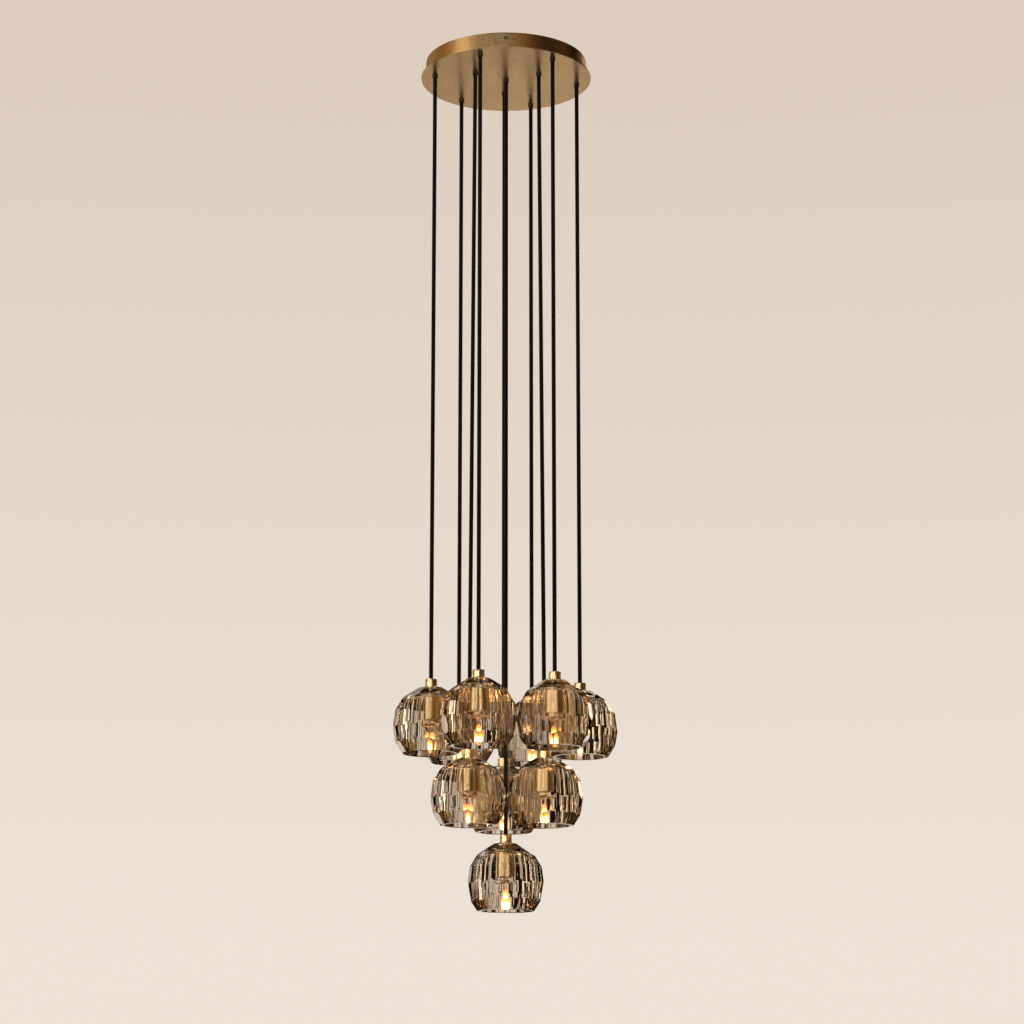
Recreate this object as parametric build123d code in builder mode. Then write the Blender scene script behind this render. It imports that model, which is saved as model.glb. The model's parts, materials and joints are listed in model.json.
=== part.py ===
"""A cluster pendant: ten cut-glass shades hang on cloth-covered cords from a round brass canopy.

The origin is the centre of the ceiling face, +Z is up and -Y is the front.  All sizes are in millimetres.
Six shades hang in an outer ring, three lower down in an inner ring, and one lowest in the middle.
"""

from build123d import *
from math import acos, cos, degrees, pi, radians, sin, sqrt, tan
import os

os.makedirs("parts", exist_ok=True)

# ---- the glass shade, heights counted up from its rim ----
shade_radius = 63.5  # over the upper facets' ridges, at the equator
shade_height = 111.0
facet_count = 16  # facets in each of the body's rows
dome_facet_count = 8
equator_height = 45.0
rim_row_height = 18.0  # top of the short facets at the rim
shoulder_height = 72.0  # foot of the leaning facets under the dome
rim_lean = 32.0  # degrees from upright, for each row of facets
lower_lean = 10.0
upper_lean = 7.5
shoulder_lean = 30.0
dome_lean = 56.0
top_land_radius = 18.0  # inside the flats, where the collar sits
mouth_radius = 39.5
cavity_top_radius = 36.0
cavity_corner_radius = 7.0
top_thickness = 21.0  # solid glass over the cavity
rim_chamfer = 0.8

# ---- the brass collar with its stem, and the cup ----
collar_radius = 10.25
collar_height = 14.0
collar_edge = 0.6
stem_radius = 4.95
stem_reach = 8.0  # how far the stem runs below the cavity's top
stem_glass_gap = 0.5
thread_gap = 0.05
cup_radius = 17.0
cup_height = 37.5
cup_wall = 1.2
cup_top_thickness = 2.5
wire_bore_radius = 2.2
cord_seat_depth = 9.0  # how deep the cord sits in the collar

# ---- the ceramic lampholder and the capsule bulb ----
holder_gap = 0.3  # to the cup's wall
holder_setback = 1.5  # of the holder's lower face inside the cup
holder_stem_gap = 0.5
bulb_radius = 7.0
bulb_tip_height = 6.0  # above the rim
bulb_base_width = 15.0
bulb_base_depth = 9.0
bulb_base_height = 13.5
bulb_socket_depth = 10.0
bulb_gap = 0.3
pin_pitch = 9.0
pin_radius = 0.6
pin_length = 13.5
pin_gap = 0.6
pin_end_gap = 1.5

# ---- the cords ----
cord_radius = 3.5
cord_gap = 0.3  # between a cord and what holds its ends
lead_radius = 1.6
lead_gap = 0.15

# ---- the layout of the cluster ----
outer_turn = 9.5  # degrees from +X
inner_turn = 93.0
outer_gap = 0.9  # between shades side by side in the outer ring
inner_gap = 0.9  # between shades side by side in the inner ring
inner_splay = 8.8  # how much further out the inner shades hang than their grips
upper_rim_drop = 1231.0  # from the ceiling to the rims of the outer ring
middle_tier_gap = 10.0  # from those rims to the tops of the inner ring's glass
lower_tier_gap = 26.0

# ---- the canopy ----
canopy_height = 30.0
plate_thickness = 3.0
plate_edge = 0.4
plate_margin = 23.0  # from the outer grips' centres to the plate's edge
plate_overhang = 8.2
ring_wall = 1.2
flange_gap = 1.0  # from the ring's flange to the nuts' corners

# ---- the cord grips ----
grip_wall = 0.7  # round the bell's mouth
grip_drop = 4.6  # below the plate
grip_edge = 0.4
pivot_drop = 2.4  # of the cord's rounded end below the plate
shank_wall = 0.5  # round the cord's seat
shank_gap = 0.1
shank_height = 9.0  # above the plate's underside
swing_angle = 10.0
nut_across_flats = 13.0
nut_height = 4.0

# ---- the ceiling bracket and its screws ----
bracket_thickness = 2.5
bracket_disc_radius = 57.0
bracket_bore_radius = 20.0
bracket_arm_width = 24.0
bracket_ear_height = 18.0
ear_gap = 1.0
ceiling_hole_pitch = 88.9
ceiling_hole_radius = 2.5
bend_radius = 2.0
side_screw_drop = 10.0
side_screw_radius = 1.95
side_screw_length = 8.0
side_screw_head_radius = 3.4
side_screw_head_height = 2.2
side_screw_head_gap = 0.15
screw_gap = 0.25
earth_screw_radius = 1.95
earth_screw_head_radius = 3.6
earth_screw_head_height = 2.4
earth_screw_length = 2.2
earth_screw_place = 85.0  # out along the bracket's arm

# ---- the terminal block ----
terminal_pitch = 10.0
block_length = 106.0
block_width = 16.0
block_height = 16.0
block_place = 28.0  # its centre, behind the middle grip
lead_run_height = 10.0  # of the leads' axes above the plate
lead_bend_radius = 4.0
lead_entry_depth = 5.0
lead_entry_gap = 0.3
lead_straight = 9.0  # of each lead in front of the block
clamp_screw_radius = 2.0
clamp_screw_height = 2.0
clamp_screw_sink = 1.5
clamp_screw_gap = 0.3
clamp_screw_inset = 4.0

# ---- what follows from these ----
flat_share = cos(pi / facet_count)  # of the radius over the ridges
equator_flat_radius = shade_radius * flat_share
rim_row_flat_radius = equator_flat_radius - (equator_height - rim_row_height) * tan(radians(lower_lean))
shoulder_flat_radius = equator_flat_radius - (shoulder_height - equator_height) * tan(radians(upper_lean))
cavity_height = shade_height - top_thickness
cup_foot = cavity_height - cup_height
collar_top = shade_height + collar_height
stem_foot = cavity_height - stem_reach
stem_bore_radius = stem_radius + stem_glass_gap
holder_foot = cup_foot + holder_setback
holder_top = stem_foot - holder_stem_gap
socket_floor = holder_foot + bulb_socket_depth
bulb_base_top = socket_floor - bulb_gap
bulb_base_foot = bulb_base_top - bulb_base_height

# the shade is widest where the upper facets' ridges run down into the lower facets
lean_sum = tan(radians(lower_lean)) + tan(radians(upper_lean)) / flat_share
widest_rise = equator_flat_radius * (1 / flat_share - 1) / lean_sum
widest_radius = equator_flat_radius + widest_rise * tan(radians(lower_lean))
outer_ring_radius = 2 * widest_radius + outer_gap
inner_ring_radius = (2 * widest_radius + inner_gap) / sqrt(3)
inner_grip_radius = inner_ring_radius - inner_splay
middle_rim_drop = upper_rim_drop + middle_tier_gap + shade_height
lower_rim_drop = middle_rim_drop + lower_tier_gap + shade_height

plate_radius = outer_ring_radius + plate_margin
plate_top = plate_thickness - canopy_height
ring_outer_radius = plate_radius - plate_overhang
ring_inner_radius = ring_outer_radius - ring_wall
pivot_height = -canopy_height - pivot_drop
cord_seat_radius = cord_radius + cord_gap
shank_radius = cord_seat_radius + shank_wall
shank_hole_radius = shank_radius + shank_gap
mouth_gap = (grip_drop - pivot_drop) * tan(radians(swing_angle))
bell_mouth_radius = cord_radius / cos(radians(swing_angle)) + mouth_gap + cord_gap / 2
grip_radius = bell_mouth_radius + grip_wall
lead_bore_radius = lead_radius + lead_gap
lead_height = plate_top + lead_run_height
nut_corner_radius = nut_across_flats / 2 / cos(pi / 6)
flange_inner_radius = outer_ring_radius + nut_corner_radius + flange_gap


# ---- where each pendant hangs ----
def grip_spot(radius, turn):
    """The point in the ceiling plane over a grip, on a circle round the middle."""
    return Vector(radius * cos(radians(turn)), radius * sin(radians(turn)), 0)


def hanging_frame(grip_radius_out, rim_radius_out, turn, rim_drop):
    """A pendant's own frame: its origin is the middle of the rim, and its z axis runs up the cord."""
    pivot = grip_spot(grip_radius_out, turn) + Vector(0, 0, pivot_height)
    rim = grip_spot(rim_radius_out, turn) + Vector(0, 0, -rim_drop)
    outward = Vector(cos(radians(turn)), sin(radians(turn)), 0)
    upward = (pivot - rim).normalized()
    tangent = upward.cross(outward)
    return Plane(origin=rim, x_dir=tangent.cross(upward), z_dir=upward)


grip_spots = [grip_spot(outer_ring_radius, outer_turn + 60 * step) for step in range(6)]
grip_spots += [grip_spot(inner_grip_radius, inner_turn + 120 * step) for step in range(3)]
grip_spots.append(Vector(0, 0, 0))

frames = []
for step in range(6):
    turn = outer_turn + 60 * step
    frames.append(hanging_frame(outer_ring_radius, outer_ring_radius, turn, upper_rim_drop))
for step in range(3):
    turn = inner_turn + 120 * step
    frames.append(hanging_frame(inner_grip_radius, inner_ring_radius, turn, middle_rim_drop))
frames.append(hanging_frame(0, 0, 0, lower_rim_drop))


def keep(piece, name):
    """Label a finished piece and write it to its own file."""
    piece.label = name
    export_step(piece, f"parts/{name}.step")


# ---- the cut-glass shade ----
# Each row of flat facets is a many-sided cone.  A row is given by its distance from the wide end of its cone,
# the radius of its flats there, its lean inwards in degrees, its number of facets, and its turn.
facet_pitch = 360 / facet_count
lower_rows = (
    (shade_height - equator_height, equator_flat_radius, lower_lean, facet_count, facet_pitch / 2),
    (shade_height - rim_row_height, rim_row_flat_radius, rim_lean, facet_count, 0),
)
upper_rows = (
    (equator_height, equator_flat_radius, upper_lean, facet_count, 0),
    (shoulder_height, shoulder_flat_radius, shoulder_lean, facet_count, 0),
    (shade_height, top_land_radius, dome_lean, dome_facet_count, facet_pitch / 2),
)

# the lower rows are cut with the rim uppermost
with BuildPart() as lower_facets:
    for distance, flat_radius, lean, sides, turn in lower_rows:
        wide_radius = flat_radius + distance * tan(radians(lean))
        with BuildSketch():
            RegularPolygon(wide_radius, sides, major_radius=False, rotation=turn)
        first = len(lower_facets.faces()) == 0
        extrude(amount=shade_height, taper=lean, mode=Mode.ADD if first else Mode.INTERSECT)

with BuildPart() as shade:
    for distance, flat_radius, lean, sides, turn in upper_rows:
        wide_radius = flat_radius + distance * tan(radians(lean))
        with BuildSketch():
            RegularPolygon(wide_radius, sides, major_radius=False, rotation=turn)
        first = len(shade.faces()) == 0
        extrude(amount=shade_height, taper=lean, mode=Mode.ADD if first else Mode.INTERSECT)
    with Locations(Location((0, 0, shade_height), (180, 0, 0))):
        add(lower_facets.part, mode=Mode.INTERSECT)
    # the pressed hollow, widest at its mouth
    with BuildSketch(Plane.XZ) as hollow:
        with BuildLine():
            Polyline(
                (0, 0),
                (mouth_radius, 0),
                (cavity_top_radius, cavity_height),
                (0, cavity_height),
                close=True,
            )
        make_face()
        corner = hollow.vertices().sort_by(Axis.Y)[-2:].sort_by(Axis.X)[-1]
        fillet(corner, cavity_corner_radius)
    revolve(axis=Axis.Z, mode=Mode.SUBTRACT)
    rim_edge = shade.edges().filter_by(GeomType.CIRCLE).sort_by(Axis.Z)[0]
    chamfer(rim_edge, rim_chamfer)
    # the bore for the stem
    with Locations((0, 0, shade_height)):
        Hole(stem_bore_radius)

# ---- the turned collar with its stem, and the cup that screws on to it ----
with BuildPart() as fitting:
    with BuildSketch(Plane.XZ) as collar_section:
        with BuildLine():
            Polyline(
                (wire_bore_radius, stem_foot),
                (stem_radius, stem_foot),
                (stem_radius, shade_height),
                (collar_radius, shade_height),
                (collar_radius, collar_top),
                (cord_seat_radius, collar_top),
                (cord_seat_radius, collar_top - cord_seat_depth),
                (wire_bore_radius, collar_top - cord_seat_depth),
                close=True,
            )
        make_face()
        rounded = collar_section.vertices().group_by(Axis.X)[-1]
        chamfer(rounded, collar_edge)
    revolve(axis=Axis.Z)
    with BuildSketch(Plane.XZ) as cup_section:
        with BuildLine():
            Polyline(
                (stem_radius + thread_gap, cavity_height),
                (cup_radius, cavity_height),
                (cup_radius, cup_foot),
                (cup_radius - cup_wall, cup_foot),
                (cup_radius - cup_wall, cavity_height - cup_top_thickness),
                (stem_radius + thread_gap, cavity_height - cup_top_thickness),
                close=True,
            )
        make_face()
        shoulder = cup_section.vertices().group_by(Axis.X)[-1].sort_by(Axis.Y)[-1]
        chamfer(shoulder, collar_edge)
    revolve(axis=Axis.Z)

# ---- the ceramic lampholder, with the bulb's socket and the holes for its pins ----
with BuildPart() as lampholder:
    with BuildSketch(Plane.XY.offset(holder_foot)):
        Circle(cup_radius - cup_wall - holder_gap)
    extrude(amount=holder_top - holder_foot)
    chamfer(lampholder.edges().group_by(Axis.Z)[-1], collar_edge)
    with BuildSketch(Plane.XY.offset(holder_foot)):
        Rectangle(bulb_base_width + 2 * bulb_gap, bulb_base_depth + 2 * bulb_gap)
    extrude(amount=bulb_socket_depth, mode=Mode.SUBTRACT)
    with BuildSketch(Plane.XY.offset(socket_floor)):
        with GridLocations(pin_pitch, 0, 2, 1):
            Circle(pin_radius + pin_gap)
    extrude(amount=pin_length - bulb_gap + pin_end_gap, mode=Mode.SUBTRACT)

# ---- the capsule bulb with its flat base and two pins ----
with BuildPart() as bulb:
    with BuildSketch(Plane.XZ):
        with BuildLine():
            tip = CenterArc((0, bulb_tip_height + bulb_radius), bulb_radius, -90, 90)
            Polyline(tip @ 1, (bulb_radius, bulb_base_foot), (0, bulb_base_foot), tip @ 0)
        make_face()
    revolve(axis=Axis.Z)
    with BuildSketch(Plane.XY.offset(bulb_base_foot)):
        Rectangle(bulb_base_width, bulb_base_depth)
    extrude(amount=bulb_base_height)
    with BuildSketch(Plane.XY.offset(bulb_base_top)):
        with GridLocations(pin_pitch, 0, 2, 1):
            Circle(pin_radius)
    extrude(amount=pin_length)

for number, frame in enumerate(frames, start=1):
    keep(shade.part.moved(frame.location), f"shade_{number:02d}")
    keep(fitting.part.moved(frame.location), f"fitting_{number:02d}")
    keep(lampholder.part.moved(frame.location), f"lampholder_{number:02d}")
    keep(bulb.part.moved(frame.location), f"bulb_{number:02d}")

# ---- the cords, each with a rounded upper end in its grip and a square end in its collar ----
for number, (frame, spot) in enumerate(zip(frames, grip_spots), start=1):
    pivot = spot + Vector(0, 0, pivot_height)
    reach = (pivot - frame.origin).length
    cord_foot = collar_top - cord_seat_depth + cord_gap
    with BuildPart() as cord:
        with BuildSketch(Plane.XZ):
            with BuildLine():
                crown = CenterArc((0, reach), cord_radius, 0, 90)
                Polyline(crown @ 0, (cord_radius, cord_foot), (0, cord_foot), crown @ 1)
            make_face()
        revolve(axis=Axis.Z)
    keep(cord.part.moved(frame.location), f"cord_{number:02d}")
    free_length = reach + pivot_drop - grip_drop - collar_top
    print(f"cord {number}: {free_length:.1f} mm long between its grip and its collar")

# ---- the canopy: a round plate and the ring that stands on it ----
with BuildPart() as canopy_plate:
    with BuildSketch(Plane.XY.offset(-canopy_height)):
        Circle(plate_radius)
    extrude(amount=plate_thickness)
    chamfer(canopy_plate.edges(), plate_edge)
    with BuildSketch(Plane.XY.offset(-canopy_height)):
        with Locations(*grip_spots):
            Circle(shank_hole_radius)
    extrude(amount=plate_thickness, mode=Mode.SUBTRACT)
keep(canopy_plate.part, "canopy_plate")

with BuildPart() as canopy_ring:
    with BuildSketch(Plane.XZ):
        with BuildLine():
            Polyline(
                (ring_outer_radius, plate_top),
                (ring_outer_radius, 0),
                (ring_inner_radius, 0),
                (ring_inner_radius, plate_top + ring_wall),
                (flange_inner_radius, plate_top + ring_wall),
                (flange_inner_radius, plate_top),
                close=True,
            )
        make_face()
    revolve(axis=Axis.Z)
    with BuildSketch(Plane.XZ.offset(-plate_radius)):
        with Locations((0, -side_screw_drop)):
            Circle(side_screw_radius + screw_gap)
    extrude(amount=2 * plate_radius, mode=Mode.SUBTRACT)
keep(canopy_ring.part, "canopy_ring")

# ---- the ceiling bracket: a disc with two arms, and an ear bent down at the end of each ----
ear_face = sqrt(ring_inner_radius**2 - (bracket_arm_width / 2) ** 2) - ear_gap
with BuildPart() as ceiling_bracket:
    with BuildSketch(Plane.XY.offset(-bracket_thickness)):
        Circle(bracket_disc_radius)
        Rectangle(bracket_arm_width, 2 * ear_face)
    extrude(amount=bracket_thickness)
    for side in (-1, 1):
        with BuildSketch(Plane.XY.offset(-bracket_ear_height)):
            with Locations((0, side * (ear_face - bracket_thickness / 2))):
                Rectangle(bracket_arm_width, bracket_thickness)
        extrude(amount=bracket_ear_height)
    bends = ceiling_bracket.edges().filter_by(Axis.X).group_by(Axis.Z)[-1]
    fillet([edge for edge in bends if abs(edge.center().Y) > ear_face - bend_radius], bend_radius)
    with BuildSketch(Plane.XY):
        Circle(bracket_bore_radius)
        with GridLocations(ceiling_hole_pitch, 0, 2, 1):
            Circle(ceiling_hole_radius)
        with Locations((0, earth_screw_place)):
            Circle(earth_screw_radius + screw_gap)
    extrude(amount=-bracket_thickness, mode=Mode.SUBTRACT)
    with BuildSketch(Plane.XZ.offset(-plate_radius)):
        with Locations((0, -side_screw_drop)):
            Circle(side_screw_radius + screw_gap)
    extrude(amount=2 * plate_radius, mode=Mode.SUBTRACT)
keep(ceiling_bracket.part, "ceiling_bracket")

# ---- the side screws, one at the front and one at the back ----
with BuildPart() as side_screws:
    for side in (-1, 1):
        head_place = side * (ring_outer_radius + side_screw_head_gap)
        head_face = Plane(origin=(0, head_place, -side_screw_drop), z_dir=(0, side, 0))
        with BuildSketch(head_face):
            Circle(side_screw_head_radius)
        extrude(amount=side_screw_head_height)
        with BuildSketch(head_face):
            Circle(side_screw_radius)
        extrude(amount=-side_screw_length)
    chamfer(side_screws.edges().group_by(Axis.Y)[0], side_screw_head_height / 3)
    chamfer(side_screws.edges().group_by(Axis.Y)[-1], side_screw_head_height / 3)
keep(side_screws.part, "side_screws")

# ---- the cord grips: a bell below the plate and a threaded shank through it ----
bell_foot = -canopy_height - grip_drop
shank_top = -canopy_height + shank_height
seat_crown = pivot_height + sqrt(cord_seat_radius**2 - lead_bore_radius**2)
with BuildPart() as cord_grip:
    with BuildSketch(Plane.XZ):
        with BuildLine():
            seat_turn = degrees(acos(lead_bore_radius / cord_seat_radius))
            seat = CenterArc((0, pivot_height), cord_seat_radius, 0, seat_turn)
            Polyline(
                seat @ 1,
                (lead_bore_radius, shank_top),
                (shank_radius, shank_top),
                (shank_radius, -canopy_height),
                (grip_radius, -canopy_height),
                (grip_radius, bell_foot),
                (bell_mouth_radius, bell_foot),
                seat @ 0,
            )
        make_face()
    revolve(axis=Axis.Z)
    outer_edge = cord_grip.edges().filter_by(GeomType.CIRCLE).group_by(Axis.Z)[0].sort_by(SortBy.RADIUS)[-1]
    chamfer(outer_edge, grip_edge)

with BuildPart() as cord_grips:
    with Locations(*grip_spots):
        add(cord_grip.part)
keep(cord_grips.part, "cord_grips")

with BuildPart() as grip_nuts:
    with BuildSketch(Plane.XY.offset(plate_top)):
        with Locations(*grip_spots):
            RegularPolygon(nut_across_flats / 2, 6, major_radius=False)
            Circle(shank_radius + thread_gap, mode=Mode.SUBTRACT)
    extrude(amount=nut_height)
keep(grip_nuts.part, "grip_nuts")

# ---- the terminal block on the plate, with a way in and a clamp screw for each lead ----
block_front = block_place - block_width / 2
block_back = block_place + block_width / 2
block_top = plate_top + block_height
# for each grip: the way it takes, in pitches from the block's middle, and 1 at the front or -1 at the back
outer_lead_ways = [(4.5, 1), (2.5, -1), (-2.5, -1), (-4.5, 1), (-2.5, 1), (2.5, 1)]
inner_lead_ways = [(0, -1), (-3.5, 1), (3.5, 1)]
lead_ways = outer_lead_ways + inner_lead_ways + [(0, 1)]
entries = []
clamp_spots = []
for way, side in lead_ways:
    face_place = block_front if side > 0 else block_back
    entries.append(Plane(origin=(way * terminal_pitch, face_place, lead_height), z_dir=(0, side, 0)))
    clamp_spots.append((way * terminal_pitch, face_place + side * clamp_screw_inset))

with BuildPart() as terminal_block:
    with BuildSketch(Plane.XY.offset(plate_top)):
        with Locations((0, block_place)):
            Rectangle(block_length, block_width)
    extrude(amount=block_height)
    chamfer(terminal_block.edges().filter_by(Axis.Z), collar_edge)
    for entry in entries:
        with BuildSketch(entry):
            Circle(lead_radius + lead_entry_gap)
        extrude(amount=lead_entry_depth, mode=Mode.SUBTRACT)
    with BuildSketch(Plane.XY.offset(block_top)):
        with Locations(*clamp_spots):
            Circle(clamp_screw_radius + clamp_screw_gap)
    extrude(amount=-(clamp_screw_sink + clamp_screw_height), mode=Mode.SUBTRACT)
keep(terminal_block.part, "terminal_block")

with BuildPart() as clamp_screws:
    with BuildSketch(Plane.XY.offset(block_top - clamp_screw_sink)):
        with Locations(*clamp_spots):
            Circle(clamp_screw_radius)
    extrude(amount=-clamp_screw_height)
keep(clamp_screws.part, "clamp_screws")

# ---- the leads, from inside each grip to the terminal block ----
lead_foot = seat_crown + lead_gap
with BuildPart() as lead_wires:
    for spot, entry, (way, side) in zip(grip_spots, entries, lead_ways):
        start = Vector(spot.X, spot.Y, lead_foot)
        above = Vector(spot.X, spot.Y, lead_height)
        before = entry.origin - Vector(0, side * lead_straight, 0)
        inside = entry.origin + Vector(0, side * (lead_entry_depth - lead_entry_gap), 0)
        in_line = abs(spot.X - before.X) < lead_gap
        corners = [above] if in_line else [above, before]
        with BuildLine() as path:
            FilletPolyline(start, *corners, inside, radius=lead_bend_radius)
        with BuildSketch(Plane(origin=start, z_dir=(0, 0, 1))):
            Circle(lead_radius)
        sweep(path=path.line)
keep(lead_wires.part, "lead_wires")

# ---- the earth screw on the bracket's rear arm ----
with BuildPart() as earth_screw:
    with BuildSketch(Plane.XY.offset(-bracket_thickness)):
        with Locations((0, earth_screw_place)):
            Circle(earth_screw_radius)
    extrude(amount=earth_screw_length)
    with BuildSketch(Plane.XY.offset(-bracket_thickness)):
        with Locations((0, earth_screw_place)):
            Circle(earth_screw_head_radius)
    extrude(amount=-earth_screw_head_height)
    chamfer(earth_screw.edges().group_by(Axis.Z)[0], screw_gap)
keep(earth_screw.part, "earth_screw")
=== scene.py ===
import json
import math

import bpy
from mathutils import Matrix, Vector

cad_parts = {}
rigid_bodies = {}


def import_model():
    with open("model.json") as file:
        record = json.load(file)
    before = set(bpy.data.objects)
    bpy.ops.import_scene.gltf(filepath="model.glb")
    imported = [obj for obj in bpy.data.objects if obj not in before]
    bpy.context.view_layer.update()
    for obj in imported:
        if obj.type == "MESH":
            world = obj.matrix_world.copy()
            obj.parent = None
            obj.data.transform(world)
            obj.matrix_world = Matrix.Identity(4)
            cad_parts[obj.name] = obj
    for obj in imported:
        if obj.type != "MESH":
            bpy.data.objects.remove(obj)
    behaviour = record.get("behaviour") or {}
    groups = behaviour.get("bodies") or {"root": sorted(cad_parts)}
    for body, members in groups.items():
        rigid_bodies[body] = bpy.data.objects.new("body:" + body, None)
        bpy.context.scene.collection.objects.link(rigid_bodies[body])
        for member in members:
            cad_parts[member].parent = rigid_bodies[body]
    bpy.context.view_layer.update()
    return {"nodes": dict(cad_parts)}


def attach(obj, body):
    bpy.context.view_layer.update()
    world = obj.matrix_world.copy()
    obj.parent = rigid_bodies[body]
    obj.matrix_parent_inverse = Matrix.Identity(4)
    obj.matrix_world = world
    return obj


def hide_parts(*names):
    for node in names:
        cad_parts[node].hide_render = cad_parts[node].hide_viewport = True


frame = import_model()

# A cluster pendant: ten smoke-crystal shades hang on cloth-covered cords from a satin brass canopy.
# Everything is in metres. The origin is the centre of the ceiling face, +Z is up and -Y is the front.

# ---- sizes of one pendant, heights counted up from the rim of its glass ----
SHADE_RADIUS = 0.0635
SHADE_HEIGHT = 0.111
FACETS = 16
DOME_FACETS = 8
EQUATOR = 0.045
RIM_ROW = 0.018
SHOULDER = 0.072
RIM_LEAN, LOWER_LEAN, UPPER_LEAN, SHOULDER_LEAN, DOME_LEAN = 32.0, 10.0, 7.5, 30.0, 56.0
TOP_LAND = 0.018
POLISHED_EDGE = 0.0008
MOUTH_RADIUS = 0.0395
CAVITY_TOP_RADIUS = 0.036
CAVITY_CORNER = 0.007
CORNER_LEAD_IN = 0.0006
CAVITY_HEIGHT = 0.090
RIM_CHAMFER = 0.0008
BLANK_SIDES = 64
HOLLOW_STEPS = 128
STEM_BORE = 0.00545

COLLAR_RADIUS = 0.01025
COLLAR_TOP = 0.125
STEM_RADIUS = 0.00495
STEM_FOOT = 0.082
CUP_RADIUS = 0.017
CUP_FOOT = 0.0525
CUP_WALL = 0.0012
CUP_TOP = 0.0025
TURNED_EASE = 0.0006
THREAD_GAP = 0.00005
WIRE_BORE = 0.0022
CORD_SEAT_RADIUS = 0.0038
CORD_SEAT = 0.116

BULB_RADIUS = 0.007
BULB_TIP = 0.006
BULB_SHOULDER = 0.034
BULB_WALL = 0.0009
PINCH_FOOT = 0.0395
PINCH_WIDTH = 0.0125
PINCH_DEPTH = 0.0038
PINCH_EASE = 0.0009
NECK_TOP = 0.0405
NECK_RADIUS, NECK_BORE = 0.0034, 0.0030
COIL_RADIUS = 0.0037
COIL_FOOT, COIL_TOP = 0.0085, 0.034
BULB_BASE_FOOT = 0.0502
BULB_BASE_TOP = 0.0637
BULB_BASE_WIDTH = 0.015
BULB_BASE_DEPTH = 0.009
BULB_BASE_EASE = 0.0008
GROOVE_FOOT, GROOVE_TOP = 0.0555, 0.0575
GROOVE_SHARE = 0.94  # of the base's depth
PIN_PITCH = 0.009
PIN_RADIUS = 0.0006
PIN_LENGTH = 0.0135
PIN_ROOT = 0.001

CORD_RADIUS = 0.0035
CORD_FOOT = 0.1163

# ---- the layout of the cluster ----
OUTER_RING = 0.12685
INNER_GRIPS = 0.06443
INNER_RING = 0.07323
OUTER_TURN = 9.5
INNER_TURN = 93.0
RIM_DROPS = {"outer": 1.231, "inner": 1.352, "middle": 1.489}
PIVOT_DROP = 0.0324


def hanging_frame(grip_radius, rim_radius, turn, drop):
    """A pendant's place: the grip's pivot, and a matrix whose z axis runs up the cord from the rim."""
    outward = Vector((math.cos(math.radians(turn)), math.sin(math.radians(turn)), 0))
    pivot = outward * grip_radius - Vector((0, 0, PIVOT_DROP))
    rim = outward * rim_radius - Vector((0, 0, drop))
    upward = (pivot - rim).normalized()
    sideways = upward.cross(outward).normalized()
    forward = sideways.cross(upward)
    place = Matrix((forward, sideways, upward)).transposed().to_4x4()
    place.translation = rim
    return pivot, place


pendants = []
for step in range(6):
    turn = OUTER_TURN + 60 * step
    pendants.append(hanging_frame(OUTER_RING, OUTER_RING, turn, RIM_DROPS["outer"]))
for step in range(3):
    turn = INNER_TURN + 120 * step
    pendants.append(hanging_frame(INNER_GRIPS, INNER_RING, turn, RIM_DROPS["inner"]))
pendants.append(hanging_frame(0.0, 0.0, 0.0, RIM_DROPS["middle"]))


# ---- the camera, at the photograph's viewing angle ----
camera_data = bpy.data.cameras.new("photo_camera")
camera_data.lens = 92.53
camera_data.sensor_width = 36.0
camera = bpy.data.objects.new("photo_camera", camera_data)
camera.location = (0.0104, -4.380, -1.798)
camera.rotation_euler = (math.radians(90 + 12.66), 0, 0)
bpy.context.scene.collection.objects.link(camera)
bpy.context.scene.camera = camera


# ---- materials ----
class Finish:
    """A node material on one Principled shader, with short calls for the nodes that lead to it."""

    def __init__(self, name, **sockets):
        self.material = bpy.data.materials.new(name)
        self.material.use_nodes = True
        self.nodes = self.material.node_tree.nodes
        self.links = self.material.node_tree.links
        self.shader = self.nodes["Principled BSDF"]
        for socket, value in sockets.items():
            self.shader.inputs[socket.replace("_", " ")].default_value = value
        self.place = self.nodes.new("ShaderNodeTexCoord").outputs["Object"]

    def node(self, kind, **settings):
        made = self.nodes.new("ShaderNode" + kind)
        for name, value in settings.items():
            setattr(made, name, value)
        return made

    def link(self, source, target):
        self.links.new(source, target)

    def stretched(self, scale):
        """Object coordinates, scaled apart along each axis."""
        mapping = self.node("Mapping")
        mapping.inputs["Scale"].default_value = scale
        self.link(self.place, mapping.inputs["Vector"])
        return mapping.outputs["Vector"]

    def noise(self, vector, scale, detail=2.0, roughness=0.5):
        made = self.node("TexNoise")
        for name, value in (("Scale", scale), ("Detail", detail), ("Roughness", roughness)):
            made.inputs[name].default_value = value
        self.link(vector, made.inputs["Vector"])
        return made.outputs["Fac"]

    def spread(self, value, low, high, start=0.3, end=0.7):
        """A value between low and high, as the source goes from start to end."""
        made = self.node("MapRange")
        for name, number in (("From Min", start), ("From Max", end), ("To Min", low), ("To Max", high)):
            made.inputs[name].default_value = number
        self.link(value, made.inputs["Value"])
        return made.outputs["Result"]

    def blend(self, factor, first, second):
        """One colour going over into another."""
        made = self.node("Mix", data_type="RGBA")
        made.inputs["A"].default_value = (*first, 1)
        made.inputs["B"].default_value = (*second, 1)
        self.link(factor, made.inputs["Factor"])
        return made.outputs["Result"]

    def colour(self, source):
        self.link(source, self.shader.inputs["Base Color"])

    def bump(self, height, distance, strength=1.0):
        made = self.node("Bump")
        made.inputs["Distance"].default_value = distance
        made.inputs["Strength"].default_value = strength
        self.link(height, made.inputs["Height"])
        self.link(made.outputs["Normal"], self.shader.inputs["Normal"])


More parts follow.
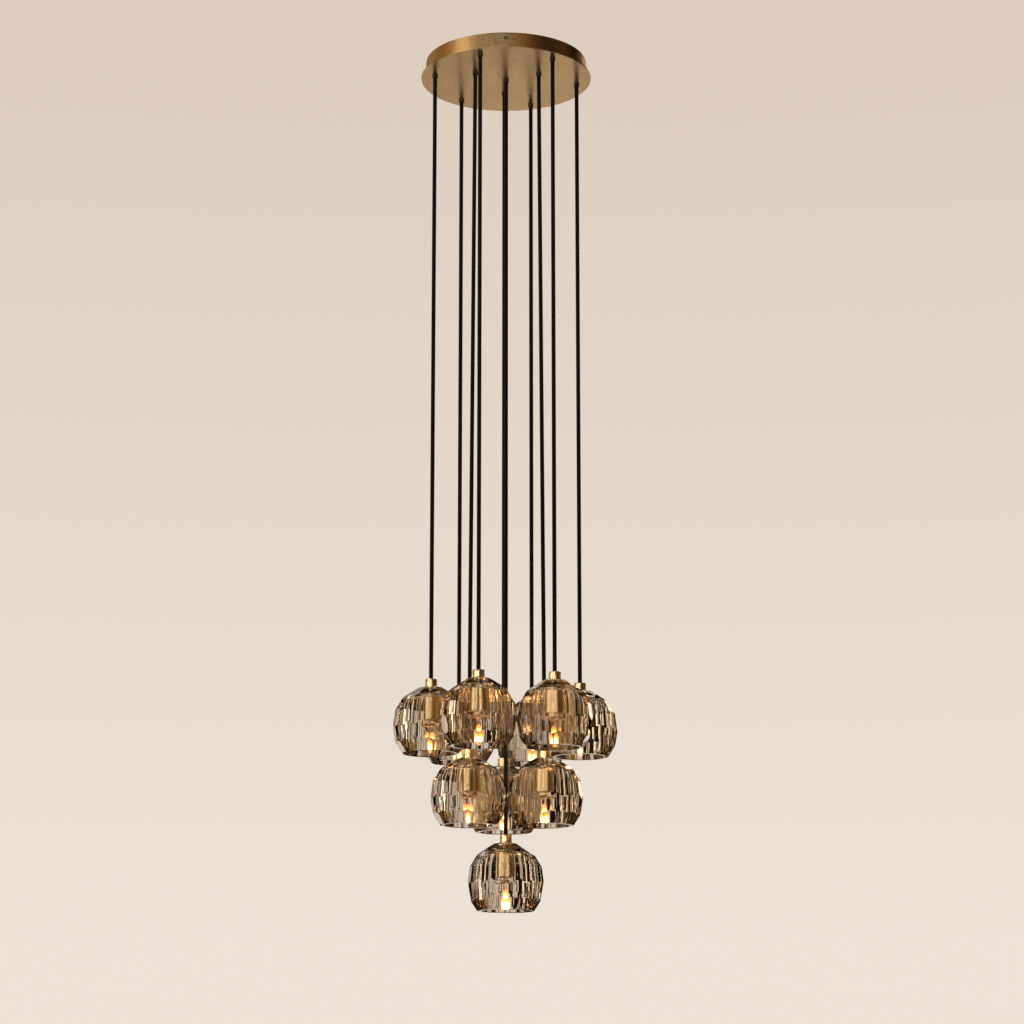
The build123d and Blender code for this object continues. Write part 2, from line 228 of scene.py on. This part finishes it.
def satin_brass():
    """Antique brass, brushed, then lacquered: fine scratches with slow clouds of tone."""
    made = Finish("satin_brass", Metallic=1.0, Roughness=0.3)
    scratches = made.noise(made.stretched((40, 900, 900)), 1.0, 3.0)
    clouds = made.noise(made.place, 14.0, 3.0)
    tone = made.node("Math", operation="MULTIPLY")
    made.link(made.spread(scratches, 0.9, 1.0), tone.inputs[0])
    made.link(made.spread(clouds, 0.72, 1.0), tone.inputs[1])
    made.colour(made.blend(tone.outputs[0], (0.38, 0.25, 0.12), (0.60, 0.42, 0.205)))
    made.link(made.spread(scratches, 0.24, 0.38), made.shader.inputs["Roughness"])
    made.bump(scratches, 0.00001, 0.2)
    return made.material


def turned_brass():
    """The fittings' brass: turned and polished, with faint rings round its own axis."""
    made = Finish("turned_brass", Metallic=1.0, Roughness=0.2)
    rings = made.noise(made.stretched((60, 60, 1800)), 1.0, 2.0)
    clouds = made.noise(made.place, 60.0, 2.0)
    made.colour(made.blend(made.spread(clouds, 0.0, 1.0), (0.72, 0.50, 0.25), (0.80, 0.58, 0.31)))
    made.link(made.spread(rings, 0.26, 0.36), made.shader.inputs["Roughness"])
    made.bump(rings, 0.00001)
    return made.material


def smoke_crystal():
    """Thick lead crystal, tinted warm grey all through."""
    made = Finish("smoke_crystal", Roughness=0.0, IOR=1.54, Transmission_Weight=1.0)
    made.shader.inputs["Base Color"].default_value = (0.99, 0.97, 0.94, 1)
    tint = made.node("VolumeAbsorption")
    tint.inputs["Color"].default_value = (0.68, 0.45, 0.11, 1)
    tint.inputs["Density"].default_value = 7.5
    output = next(n for n in made.nodes if n.type == "OUTPUT_MATERIAL")
    made.link(tint.outputs["Volume"], output.inputs["Volume"])
    return made.material


def black_fabric():
    """A close braid of black thread."""
    made = Finish("black_fabric", Roughness=0.8, Sheen_Weight=0.1, Sheen_Roughness=0.4)
    made.shader.inputs["Sheen Tint"].default_value = (0.6, 0.5, 0.42, 1)
    threads = made.noise(made.stretched((900, 900, 300)), 1.0, 2.0)
    braid = made.blend(made.spread(threads, 0.0, 1.0), (0.0015, 0.0015, 0.0015), (0.007, 0.006, 0.005))
    made.colour(braid)
    made.bump(threads, 0.0002)
    return made.material


def plain(name, first, second, scale, **sockets):
    """A moulded or plated surface with slight mottling."""
    made = Finish(name, **sockets)
    mottling = made.noise(made.place, scale, 3.0)
    made.colour(made.blend(made.spread(mottling, 0.0, 1.0), first, second))
    made.bump(mottling, 0.00003)
    return made.material


def lit_glass():
    """The bulb's clear envelope, faintly warm with the light that it scatters."""
    made = Finish("lit_glass", Roughness=0.02, IOR=1.45, Transmission_Weight=1.0, Emission_Strength=0.9)
    made.shader.inputs["Base Color"].default_value = (1.0, 0.93, 0.82, 1)
    lengthways = made.node("SeparateXYZ")
    made.link(made.node("UVMap").outputs["UV"], lengthways.inputs["Vector"])
    ramp = made.node("ValToRGB")
    ramp.color_ramp.elements[0].color = (1.0, 0.36, 0.06, 1)
    ramp.color_ramp.elements[1].color = (0.05, 0.008, 0.001, 1)
    ramp.color_ramp.elements[0].position = 0.5
    ramp.color_ramp.elements[1].position = 0.8
    made.link(lengthways.outputs["Y"], ramp.inputs["Fac"])
    made.link(ramp.outputs["Color"], made.shader.inputs["Emission Color"])
    return made.material


def glowing_coil():
    """The lit coil: white hot in the middle of its length and orange at its ends, along its own UV."""
    made = Finish("glowing_coil", Roughness=0.5, Emission_Strength=18.0)
    made.shader.inputs["Base Color"].default_value = (0.9, 0.7, 0.4, 1)
    lengthways = made.node("SeparateXYZ")
    made.link(made.node("UVMap").outputs["UV"], lengthways.inputs["Vector"])
    ramp = made.node("ValToRGB")
    ramp.color_ramp.elements[0].color = (1.0, 0.66, 0.33, 1)
    ramp.color_ramp.elements[1].color = (0.16, 0.05, 0.004, 1)
    ramp.color_ramp.elements[0].position = 0.55
    ramp.color_ramp.elements[1].position = 0.95
    made.link(lengthways.outputs["Y"], ramp.inputs["Fac"])
    made.link(ramp.outputs["Color"], made.shader.inputs["Emission Color"])
    return made.material


finishes = {
    "satin_brass": satin_brass(),
    "bright_brass": turned_brass(),
    "smoke_crystal": smoke_crystal(),
    "black_fabric": black_fabric(),
    "black_nylon": plain("black_nylon", (0.012, 0.011, 0.010), (0.03, 0.028, 0.026), 300.0, Roughness=0.45),
    "block_nylon": plain("block_nylon", (0.70, 0.68, 0.62), (0.78, 0.76, 0.70), 120.0, Roughness=0.5),
    "lead_sheath": plain("lead_sheath", (0.05, 0.03, 0.02), (0.08, 0.05, 0.035), 200.0, Roughness=0.5),
    "zinc_steel": plain(
        "zinc_steel", (0.50, 0.50, 0.48), (0.62, 0.62, 0.60), 90.0, Roughness=0.35, Metallic=1.0
    ),
    "white_ceramic": plain("white_ceramic", (0.78, 0.75, 0.70), (0.86, 0.84, 0.80), 60.0, Roughness=0.25),
    "lit_glass": lit_glass(),
}
coil_finish = glowing_coil()

for name, node in frame["nodes"].items():
    for place in node.material_slots:
        packed = place.material.name.split(".")[0]
        place.material = finishes[packed]
# the side screws' brass is painted dark: a painted shade standing in for the shadow inside the screw holes of
# the ring
frame["nodes"]["side_screws"].material_slots[0].material = plain(
    "screw_brass_painted_dark", (0.10, 0.065, 0.03), (0.20, 0.13, 0.06), 200.0, Roughness=0.4, Metallic=1.0
)


# ---- pieces that repeat: modelled once, then copied to each pendant ----
def clear():
    """Nothing selected, object mode."""
    if bpy.context.object and bpy.context.object.mode != "OBJECT":
        bpy.ops.object.mode_set(mode="OBJECT")
    bpy.ops.object.select_all(action="DESELECT")


def picked(*pieces):
    """These pieces alone selected, the first of them active."""
    clear()
    for piece in pieces:
        piece.select_set(True)
    bpy.context.view_layer.objects.active = pieces[0]


def smoothed(angle, *pieces):
    """The pieces joined into the first, its edges under an angle in degrees shaded smooth."""
    picked(*pieces)
    if len(pieces) > 1:
        bpy.ops.object.join()
    bpy.ops.object.shade_smooth_by_angle(angle=math.radians(angle))
    return pieces[0]


def copied(master, name, place, body, nodes):
    """A copy of a master with its own mesh, moved into its place and riding on its body."""
    piece = bpy.data.objects.new(name, master.data.copy())
    bpy.context.scene.collection.objects.link(piece)
    piece.data.transform(place)
    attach(piece, body)
    if nodes:
        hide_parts(*nodes)
    return piece


def turned(name, profile, steps, finish):
    """A piece turned on the lathe: a line of points (radius, height) spun round the z axis."""
    clear()
    bpy.ops.mesh.primitive_plane_add(size=0.001, location=(0, 0, 0))
    piece = bpy.context.object
    piece.name = name
    bpy.ops.object.mode_set(mode="EDIT")
    bpy.ops.mesh.select_all(action="SELECT")
    bpy.ops.mesh.merge(type="CENTER")
    here = Vector((profile[0][0], 0, profile[0][1]))
    bpy.ops.transform.translate(value=here)
    for radius, height in profile[1:]:
        there = Vector((radius, 0, height))
        bpy.ops.mesh.extrude_vertices_move(TRANSFORM_OT_translate={"value": there - here})
        here = there
    bpy.ops.mesh.select_all(action="SELECT")
    bpy.ops.mesh.spin(steps=steps, angle=2 * math.pi, center=(0, 0, 0), axis=(0, 0, 1))
    bpy.ops.mesh.select_all(action="SELECT")
    bpy.ops.mesh.remove_doubles(threshold=0.000001)
    bpy.ops.mesh.dissolve_degenerate(threshold=0.000001)
    bpy.ops.mesh.normals_make_consistent(inside=False)
    bpy.ops.object.mode_set(mode="OBJECT")
    piece.data.materials.clear()
    piece.data.materials.append(finish)
    return piece


def arc(centre, radius, start, end, steps):
    """Points of an arc in a profile, by angles in degrees."""
    found = []
    for step in range(steps + 1):
        angle = math.radians(start + (end - start) * step / steps)
        found.append((centre[0] + radius * math.cos(angle), centre[1] + radius * math.sin(angle)))
    return found


def cut(piece, tool):
    """Take the tool's shape out of the piece, and throw the tool away."""
    picked(piece)
    boolean = piece.modifiers.new("cut", "BOOLEAN")
    boolean.operation = "DIFFERENCE"
    boolean.solver = "EXACT"
    boolean.object = tool
    bpy.ops.object.modifier_apply(modifier="cut")
    bpy.data.objects.remove(tool)


def cut_facets(height, flat_radius, lean, count, half_turn):
    """Grind a row of flats, all leaning inwards by the same angle, upwards if lean is positive."""
    tilt = math.radians(lean)
    for index in range(count):
        angle = 2 * math.pi * (index + half_turn) / count
        outward = Vector((math.cos(angle), math.sin(angle), 0))
        normal = outward * math.cos(tilt) + Vector((0, 0, math.sin(tilt)))
        bpy.ops.mesh.select_all(action="SELECT")
        bpy.ops.mesh.bisect(
            plane_co=outward * flat_radius + Vector((0, 0, height)),
            plane_no=normal,
            use_fill=True,
            clear_outer=True,
        )


def crystal_shade():
    """The blank is ground flat row by row, its edges are polished, and the hollow is taken out."""
    flat = SHADE_RADIUS * math.cos(math.pi / FACETS)
    rim_flat = flat - (EQUATOR - RIM_ROW) * math.tan(math.radians(LOWER_LEAN))
    shoulder_flat = flat - (SHOULDER - EQUATOR) * math.tan(math.radians(UPPER_LEAN))
    clear()
    bpy.ops.mesh.primitive_cylinder_add(
        vertices=BLANK_SIDES, radius=SHADE_RADIUS * 1.1, depth=SHADE_HEIGHT, location=(0, 0, SHADE_HEIGHT / 2)
    )
    bpy.ops.object.transform_apply(location=True, rotation=False, scale=False)
    piece = bpy.context.object
    piece.name = "crystal_shade_master"
    bpy.ops.object.mode_set(mode="EDIT")
    cut_facets(EQUATOR, flat, UPPER_LEAN, FACETS, 0.5)
    cut_facets(EQUATOR, flat, -LOWER_LEAN, FACETS, 0.0)
    cut_facets(RIM_ROW, rim_flat, -RIM_LEAN, FACETS, 0.5)
    cut_facets(SHOULDER, shoulder_flat, SHOULDER_LEAN, FACETS, 0.5)
    cut_facets(SHADE_HEIGHT, TOP_LAND, DOME_LEAN, DOME_FACETS, 0.75)
    bpy.ops.mesh.select_all(action="SELECT")
    bpy.ops.mesh.remove_doubles(threshold=0.00001)
    bpy.ops.mesh.bevel(offset=POLISHED_EDGE, segments=2, affect="EDGES", clamp_overlap=True)
    bpy.ops.mesh.select_all(action="SELECT")
    bpy.ops.mesh.remove_doubles(threshold=0.00001)
    bpy.ops.mesh.normals_make_consistent(inside=False)
    bpy.ops.object.mode_set(mode="OBJECT")
    piece.data.materials.clear()
    piece.data.materials.append(finishes["smoke_crystal"])
    below, above = -0.002, SHADE_HEIGHT + 0.002
    wall_slope = (CAVITY_TOP_RADIUS - MOUTH_RADIUS) / CAVITY_HEIGHT
    profile = [(0, below), (MOUTH_RADIUS + RIM_CHAMFER - below, below), (MOUTH_RADIUS, RIM_CHAMFER)]
    corner_foot = CAVITY_HEIGHT - CAVITY_CORNER
    corner_centre = (MOUTH_RADIUS + wall_slope * corner_foot - CAVITY_CORNER, corner_foot)
    # a point close under the corner keeps its rounding out of the long wall's shading
    profile.append((MOUTH_RADIUS + wall_slope * (corner_foot - CORNER_LEAD_IN), corner_foot - CORNER_LEAD_IN))
    profile += arc(corner_centre, CAVITY_CORNER, 0, 90, 10)
    profile += [(STEM_BORE, CAVITY_HEIGHT), (STEM_BORE, above), (0, above)]
    hollow = turned("hollow", profile, HOLLOW_STEPS, finishes["smoke_crystal"])
    for polygon in hollow.data.polygons:
        level = abs(polygon.normal.z) > 0.99
        polygon.use_smooth = polygon.center.z > RIM_CHAMFER and not level
    cut(piece, hollow)
    # the edges of every flat face are sharp, so that its tilt stays out of the hollow's smooth wall
    flat_faces = [polygon for polygon in piece.data.polygons if not polygon.use_smooth]
    flat_edges = {key for polygon in flat_faces for key in polygon.edge_keys}
    for edge in piece.data.edges:
        edge.use_edge_sharp = edge.key in flat_edges
    return piece


def brass_fitting():
    """The collar with its stem, and the cup that screws on to it, as one piece."""
    ease = TURNED_EASE
    thread_bore = STEM_RADIUS + THREAD_GAP
    profile = [
        (WIRE_BORE, STEM_FOOT),
        (STEM_RADIUS, STEM_FOOT),
        (STEM_RADIUS, SHADE_HEIGHT),
    ]
    profile += arc((COLLAR_RADIUS - ease, SHADE_HEIGHT + ease), ease, -90, 0, 3)
    profile += arc((COLLAR_RADIUS - ease, COLLAR_TOP - ease), ease, 0, 90, 3)
    profile += [
        (CORD_SEAT_RADIUS, COLLAR_TOP),
        (CORD_SEAT_RADIUS, CORD_SEAT),
        (WIRE_BORE, CORD_SEAT),
        (WIRE_BORE, STEM_FOOT),
    ]
    collar = turned("collar_master", profile, 64, finishes["bright_brass"])
    inside = CUP_RADIUS - CUP_WALL
    profile = [(thread_bore, CAVITY_HEIGHT)]
    profile += arc((CUP_RADIUS - ease, CAVITY_HEIGHT - ease), ease, 90, 0, 3)
    profile += [
        (CUP_RADIUS, CUP_FOOT),
        (inside, CUP_FOOT),
        (inside, CAVITY_HEIGHT - CUP_TOP),
        (thread_bore, CAVITY_HEIGHT - CUP_TOP),
        (thread_bore, CAVITY_HEIGHT),
    ]
    cup = turned("cup_master", profile, 96, finishes["bright_brass"])
    return smoothed(35, collar, cup)


def uv_along(piece, low, high):
    """A UV map with u round the z axis and v along it, from 0 at low to 1 at high."""
    layer = piece.data.uv_layers.new(name="along") if not piece.data.uv_layers else piece.data.uv_layers[0]
    for loop in piece.data.loops:
        spot = piece.data.vertices[loop.vertex_index].co
        around = math.atan2(spot.y, spot.x) / (2 * math.pi) + 0.5
        layer.data[loop.index].uv = (around, (spot.z - low) / (high - low))


def bulb_envelope():
    """The hollow glass capsule with its flat pinch."""
    tip = (0, BULB_TIP + BULB_RADIUS)
    shoulder = (0, BULB_SHOULDER)
    inside = BULB_RADIUS - BULB_WALL
    profile = arc(tip, BULB_RADIUS, -90, 0, 12)
    profile += arc(shoulder, BULB_RADIUS, 0, 60, 6)
    profile += [(NECK_RADIUS, NECK_TOP), (NECK_BORE, NECK_TOP)]
    profile += arc(shoulder, inside, 58, 0, 6)
    profile += arc(tip, inside, 0, -90, 12)
    piece = turned("bulb_envelope_master", profile, 48, finishes["lit_glass"])
    clear()
    bpy.ops.mesh.primitive_cube_add(size=1, location=(0, 0, (PINCH_FOOT + BULB_BASE_FOOT) / 2))
    pinch = bpy.context.object
    pinch.scale = (PINCH_WIDTH, PINCH_DEPTH, BULB_BASE_FOOT - PINCH_FOOT)
    bpy.ops.object.transform_apply(location=True, rotation=False, scale=True)
    bpy.ops.object.mode_set(mode="EDIT")
    bpy.ops.mesh.select_all(action="SELECT")
    bpy.ops.mesh.bevel(offset=PINCH_EASE, segments=3, affect="EDGES")
    bpy.ops.object.mode_set(mode="OBJECT")
    pinch.data.materials.append(finishes["lit_glass"])
    smoothed(40, piece, pinch)
    uv_along(piece, BULB_TIP, BULB_BASE_FOOT)
    return piece


def bulb_coil():
    """The lit coil inside the capsule, as one rounded body."""
    profile = arc((0, COIL_FOOT + COIL_RADIUS), COIL_RADIUS, -90, 0, 6)
    profile += arc((0, COIL_TOP - COIL_RADIUS), COIL_RADIUS, 0, 90, 6)
    piece = turned("bulb_coil_master", profile, 24, coil_finish)
    uv_along(piece, COIL_FOOT, COIL_TOP)
    return smoothed(60, piece)


def bulb_base():
    """The bulb's flat ceramic base, its edges eased, with a groove across its wide sides."""
    clear()
    bpy.ops.mesh.primitive_cube_add(size=1, location=(0, 0, (BULB_BASE_FOOT + BULB_BASE_TOP) / 2))
    piece = bpy.context.object
    piece.name = "bulb_base_master"
    piece.scale = (BULB_BASE_WIDTH, BULB_BASE_DEPTH, BULB_BASE_TOP - BULB_BASE_FOOT)
    bpy.ops.object.transform_apply(location=True, rotation=False, scale=True)
    bpy.ops.object.mode_set(mode="EDIT")
    bpy.ops.mesh.select_all(action="SELECT")
    bpy.ops.mesh.bevel(offset=BULB_BASE_EASE, segments=2, affect="EDGES")
    for level in (GROOVE_FOOT, GROOVE_TOP):
        bpy.ops.mesh.select_all(action="SELECT")
        bpy.ops.mesh.bisect(plane_co=(0, 0, level), plane_no=(0, 0, 1))
    bpy.ops.object.mode_set(mode="OBJECT")
    for vertex in piece.data.vertices:
        if GROOVE_FOOT - 0.0001 < vertex.co.z < GROOVE_TOP + 0.0001:
            vertex.co.y *= GROOVE_SHARE
    piece.data.materials.append(finishes["white_ceramic"])
    return smoothed(40, piece)


def bulb_pins():
    """Two pins with rounded ends."""
    root, end = BULB_BASE_TOP - PIN_ROOT, BULB_BASE_TOP + PIN_LENGTH
    profile = [(0, root), (PIN_RADIUS, root)]
    profile += arc((0, end - PIN_RADIUS), PIN_RADIUS, 0, 90, 4)
    piece = turned("bulb_pins_master", profile, 16, finishes["zinc_steel"])
    piece.data.transform(Matrix.Translation((-PIN_PITCH / 2, 0, 0)))
    twin = bpy.data.objects.new("twin_pin", piece.data.copy())
    bpy.context.scene.collection.objects.link(twin)
    twin.data.transform(Matrix.Translation((PIN_PITCH, 0, 0)))
    return smoothed(40, piece, twin)


shade_master = crystal_shade()
bulb_masters = [
    (bulb_envelope(), "bulb_envelope", "lit_glass"),
    (bulb_coil(), "bulb_coil", "lit_glass"),
    (bulb_base(), "bulb_base", "white_ceramic"),
    (bulb_pins(), "bulb_pins", "zinc_steel"),
]
fitting_master = brass_fitting()
for number, (pivot, place) in enumerate(pendants, start=1):
    tag = f"{number:02d}"
    body = f"pendant_{tag}"
    crystal = copied(shade_master, f"crystal_{tag}", place, body, [f"shade_{tag}"])
    crystal.visible_shadow = False
    copied(fitting_master, f"collar_and_cup_{tag}", place, body, [f"fitting_{tag}"])
    for master, name, slot in bulb_masters:
        nodes = [f"bulb_{tag}"] if name == "bulb_envelope" else []
        part = copied(master, f"{name}_{tag}", place, f"lamp_{tag}", nodes)
        if name == "bulb_coil":
            part.visible_diffuse = part.visible_shadow = False
        if name == "bulb_envelope":
            part.visible_shadow = False
for master in [shade_master, fitting_master] + [master for master, name, slot in bulb_masters]:
    bpy.data.objects.remove(master)


# ---- the cords: the same routes as in the CAD, taut from grip to collar ----
for number, (pivot, place) in enumerate(pendants, start=1):
    foot = place @ Vector((0, 0, CORD_FOOT))
    crown = pivot + place.to_3x3() @ Vector((0, 0, CORD_RADIUS * 0.6))
    curve = bpy.data.curves.new(f"cloth_cord_{number:02d}", "CURVE")
    curve.dimensions = "3D"
    curve.bevel_depth = CORD_RADIUS
    curve.bevel_resolution = 6
    curve.use_fill_caps = True
    spline = curve.splines.new("NURBS")
    route = [crown, crown.lerp(foot, 0.5), foot]
    spline.points.add(len(route) - 1)
    for point, spot in zip(spline.points, route):
        point.co = (*spot, 1)
    spline.order_u = 3
    spline.use_endpoint_u = True
    spline.resolution_u = 12
    curve.materials.append(finishes["black_fabric"])
    cord = bpy.data.objects.new(f"cloth_cord_{number:02d}", curve)
    bpy.context.scene.collection.objects.link(cord)
    hangs_freely = number <= 6
    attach(cord, f"hanger_{number:02d}" if hangs_freely else "root")
    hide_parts(f"cord_{number:02d}")


# ---- the studio: a floor, a pale world, cards and lamps ----
def seen_or_mirrored(nodes, links):
    """1 for rays from the camera, off polished metal and through glass, and 0 for the light given off."""
    rays = nodes.new("ShaderNodeLightPath")
    shown = rays.outputs["Is Camera Ray"]
    for kind in ("Is Glossy Ray", "Is Transmission Ray"):
        either = nodes.new("ShaderNodeMath")
        either.operation = "MAXIMUM"
        links.new(shown, either.inputs[0])
        links.new(rays.outputs[kind], either.inputs[1])
        shown = either.outputs[0]
    return shown


def pale_world():
    """A pale warm backdrop, lighter low down, at full brightness where it is seen and dimmer as light."""
    world = bpy.data.worlds.new("pale_room")
    world.use_nodes = True
    bpy.context.scene.world = world
    nodes, links = world.node_tree.nodes, world.node_tree.links
    backdrop = nodes["Background"]
    towards = nodes.new("ShaderNodeSeparateXYZ")
    links.new(nodes.new("ShaderNodeTexCoord").outputs["Generated"], towards.inputs["Vector"])
    tone = nodes.new("ShaderNodeValToRGB")
    tone.color_ramp.elements[0].color = (0.847, 0.761, 0.665, 1)
    tone.color_ramp.elements[1].color = (0.715, 0.610, 0.515, 1)
    tone.color_ramp.elements[0].position = 0.06
    tone.color_ramp.elements[1].position = 0.40
    links.new(towards.outputs["Z"], tone.inputs["Fac"])
    links.new(tone.outputs["Color"], backdrop.inputs["Color"])
    level = nodes.new("ShaderNodeMapRange")
    level.inputs["To Min"].default_value = 0.4
    level.inputs["To Max"].default_value = 1.0
    links.new(seen_or_mirrored(nodes, links), level.inputs["Value"])
    links.new(level.outputs["Result"], backdrop.inputs["Strength"])


def pale_floor():
    """The studio's floor, far below, out of the main view."""
    clear()
    bpy.ops.mesh.primitive_plane_add(size=80, location=(0, 0, -5.6))
    floor = bpy.context.object
    floor.name = "studio_floor"
    made = Finish("pale_floor", Roughness=0.7)
    made.shader.inputs["Base Color"].default_value = (0.62, 0.55, 0.48, 1)
    made.shader.inputs["Emission Color"].default_value = (0.847, 0.761, 0.665, 1)
    level = made.node("Math", operation="MULTIPLY")
    made.link(seen_or_mirrored(made.nodes, made.material.node_tree.links), level.inputs[0])
    level.inputs[1].default_value = 0.8
    made.link(level.outputs[0], made.shader.inputs["Emission Strength"])
    floor.data.materials.append(made.material)
    floor.visible_diffuse = False


brass_pieces = bpy.data.collections.new("brass_pieces")
for piece in bpy.context.scene.objects:
    used = [place.material.name for place in piece.material_slots if place.material]
    if piece.type == "MESH" and any("brass" in name for name in used):
        brass_pieces.objects.link(piece)


def lamp(name, place, aim, size, power, colour, only=None):
    """A softbox.  The glass shows the cards instead of it, and a lamp may light only some pieces."""
    data = bpy.data.lights.new(name, "AREA")
    data.shape = "RECTANGLE"
    data.size, data.size_y = size
    data.energy = power
    data.color = colour
    lamp_object = bpy.data.objects.new(name, data)
    lamp_object.location = place
    if only:
        lamp_object.light_linking.receiver_collection = only
        data.cycles.use_multiple_importance_sampling = False
    else:
        lamp_object.visible_glossy = lamp_object.visible_transmission = False
    lamp_object.rotation_euler = (Vector(aim) - Vector(place)).to_track_quat("-Z", "Y").to_euler()
    bpy.context.scene.collection.objects.link(lamp_object)


def studio_card(name, azimuth, width, tone, low=-5.5, high=3.0, distance=3.2):
    """A tall card out of the camera's sight, which cut glass and polished metal show as a streak.

    The azimuth is in degrees from straight behind the object, and the width in degrees as seen from it.
    """
    clear()
    around = math.radians(azimuth)
    across = 2 * distance * math.tan(math.radians(width / 2))
    spot = Vector((math.sin(around), math.cos(around), 0)) * distance
    bpy.ops.mesh.primitive_plane_add(size=1, location=(spot.x, spot.y, (low + high) / 2))
    card = bpy.context.object
    card.name = name
    card.scale = (across, high - low, 1)
    card.rotation_euler = (math.pi / 2, 0, -around)
    material = bpy.data.materials.new(name)
    material.use_nodes = True
    shader = material.node_tree.nodes["Principled BSDF"]
    shader.inputs["Base Color"].default_value = (0, 0, 0, 1)
    shader.inputs["Specular IOR Level"].default_value = 0.0
    shader.inputs["Roughness"].default_value = 1.0
    shader.inputs["Emission Color"].default_value = (*tone, 1)
    shader.inputs["Emission Strength"].default_value = 1.0
    card.data.materials.append(material)
    card.visible_camera = card.visible_diffuse = card.visible_shadow = False
    return card


def studio_shelf(name, across, along, height, tone):
    """A level card over or under the object, which the glass and the metal show and the camera doesn't."""
    card = studio_card(name, 0, 10, tone)
    corners = [(x, y, height) for y in along for x in across]
    card.location, card.rotation_euler, card.scale = (0, 0, 0), (0, 0, 0), (1, 1, 1)
    for vertex, corner in zip(card.data.vertices, corners):
        vertex.co = corner


pale_world()
pale_floor()
BLACK, UMBER, WHITE = (0.001, 0.001, 0.001), (0.34, 0.15, 0.03), (3.2, 2.7, 2.1)
DIM = (0.008, 0.006, 0.004)
FOOT, EYE, HEAD = -5.5, -1.4, 3.0
card_row = [
    # what the upper facets show, low down behind the light
    (-66, 50, BLACK, FOOT, EYE),
    (-38, 5, WHITE, FOOT, EYE),
    (-22, 24, BLACK, FOOT, EYE),
    (-5, 3, BLACK, FOOT, EYE),
    (1, 2, BLACK, FOOT, EYE),
    (6, 2, UMBER, FOOT, EYE),
    (21, 24, BLACK, FOOT, EYE),
    (36, 5, WHITE, FOOT, EYE),
    (65, 52, BLACK, FOOT, EYE),
    # what the lower facets show, high up behind the light
    (-76, 32, BLACK, EYE, HEAD),
    (-55, 8, WHITE, EYE, HEAD),
    (-30, 12, BLACK, EYE, HEAD),
    (-12, 4, BLACK, EYE, HEAD),
    (-3, 2, UMBER, EYE, HEAD),
    (18, 22, BLACK, EYE, HEAD),
    (32, 5, WHITE, EYE, HEAD),
    (42, 14, UMBER, EYE, HEAD),
    (70, 40, BLACK, EYE, HEAD),
    # the sides and the front, which the outsides of the facets mirror
    (99, 14, UMBER, FOOT, HEAD),
    (122, 40, DIM, FOOT, HEAD),
    (152, 40, DIM, FOOT, HEAD),
    (180, 40, DIM, FOOT, HEAD),
    (-150, 40, DIM, FOOT, HEAD),
    (-120, 34, DIM, FOOT, HEAD),
    (-97, 12, UMBER, FOOT, HEAD),
]
for number, (azimuth, width, tone, low, high) in enumerate(card_row, start=1):
    studio_card(f"card_{number:02d}", azimuth, width, tone, low, high)
for number, across in enumerate(((-3.2, -1.3), (-0.75, -0.1), (0.35, 1.3), (1.7, 3.2)), start=1):
    studio_shelf(f"card_overhead_{number}", across, (-3.6, 2.6), 1.0, BLACK if number % 2 == 0 else UMBER)
studio_card("card_canopy_left", -116, 22, (2.4, 2.0, 1.45), 0.5, HEAD, 3.0)
studio_shelf("card_floor_front", (-4.0, 4.0), (-4.2, -0.9), -3.2, DIM)
lamp("key_softbox", (-2.6, -2.2, 0.2), (0, 0, -0.9), (1.0, 2.4), 60, (1.0, 0.93, 0.84))
lamp("fill_softbox", (2.8, -2.6, -0.6), (0, 0, -0.9), (1.2, 2.0), 14, (1.0, 0.95, 0.9))
lamp("brass_front", (-0.7, -2.8, -0.9), (0, 0, -1.0), (2.2, 3.0), 60, (1.0, 0.95, 0.88), only=brass_pieces)
lamp("brass_strip", (-2.3, -1.5, -0.9), (0, 0, -1.0), (0.3, 3.0), 40, (1.0, 0.95, 0.88), only=brass_pieces)
lamp("brass_floor", (-0.5, -0.6, -2.6), (0, 0, 0.0), (2.4, 2.4), 24, (1.0, 0.93, 0.84), only=brass_pieces)

bpy.context.scene.view_settings.view_transform = "Standard"
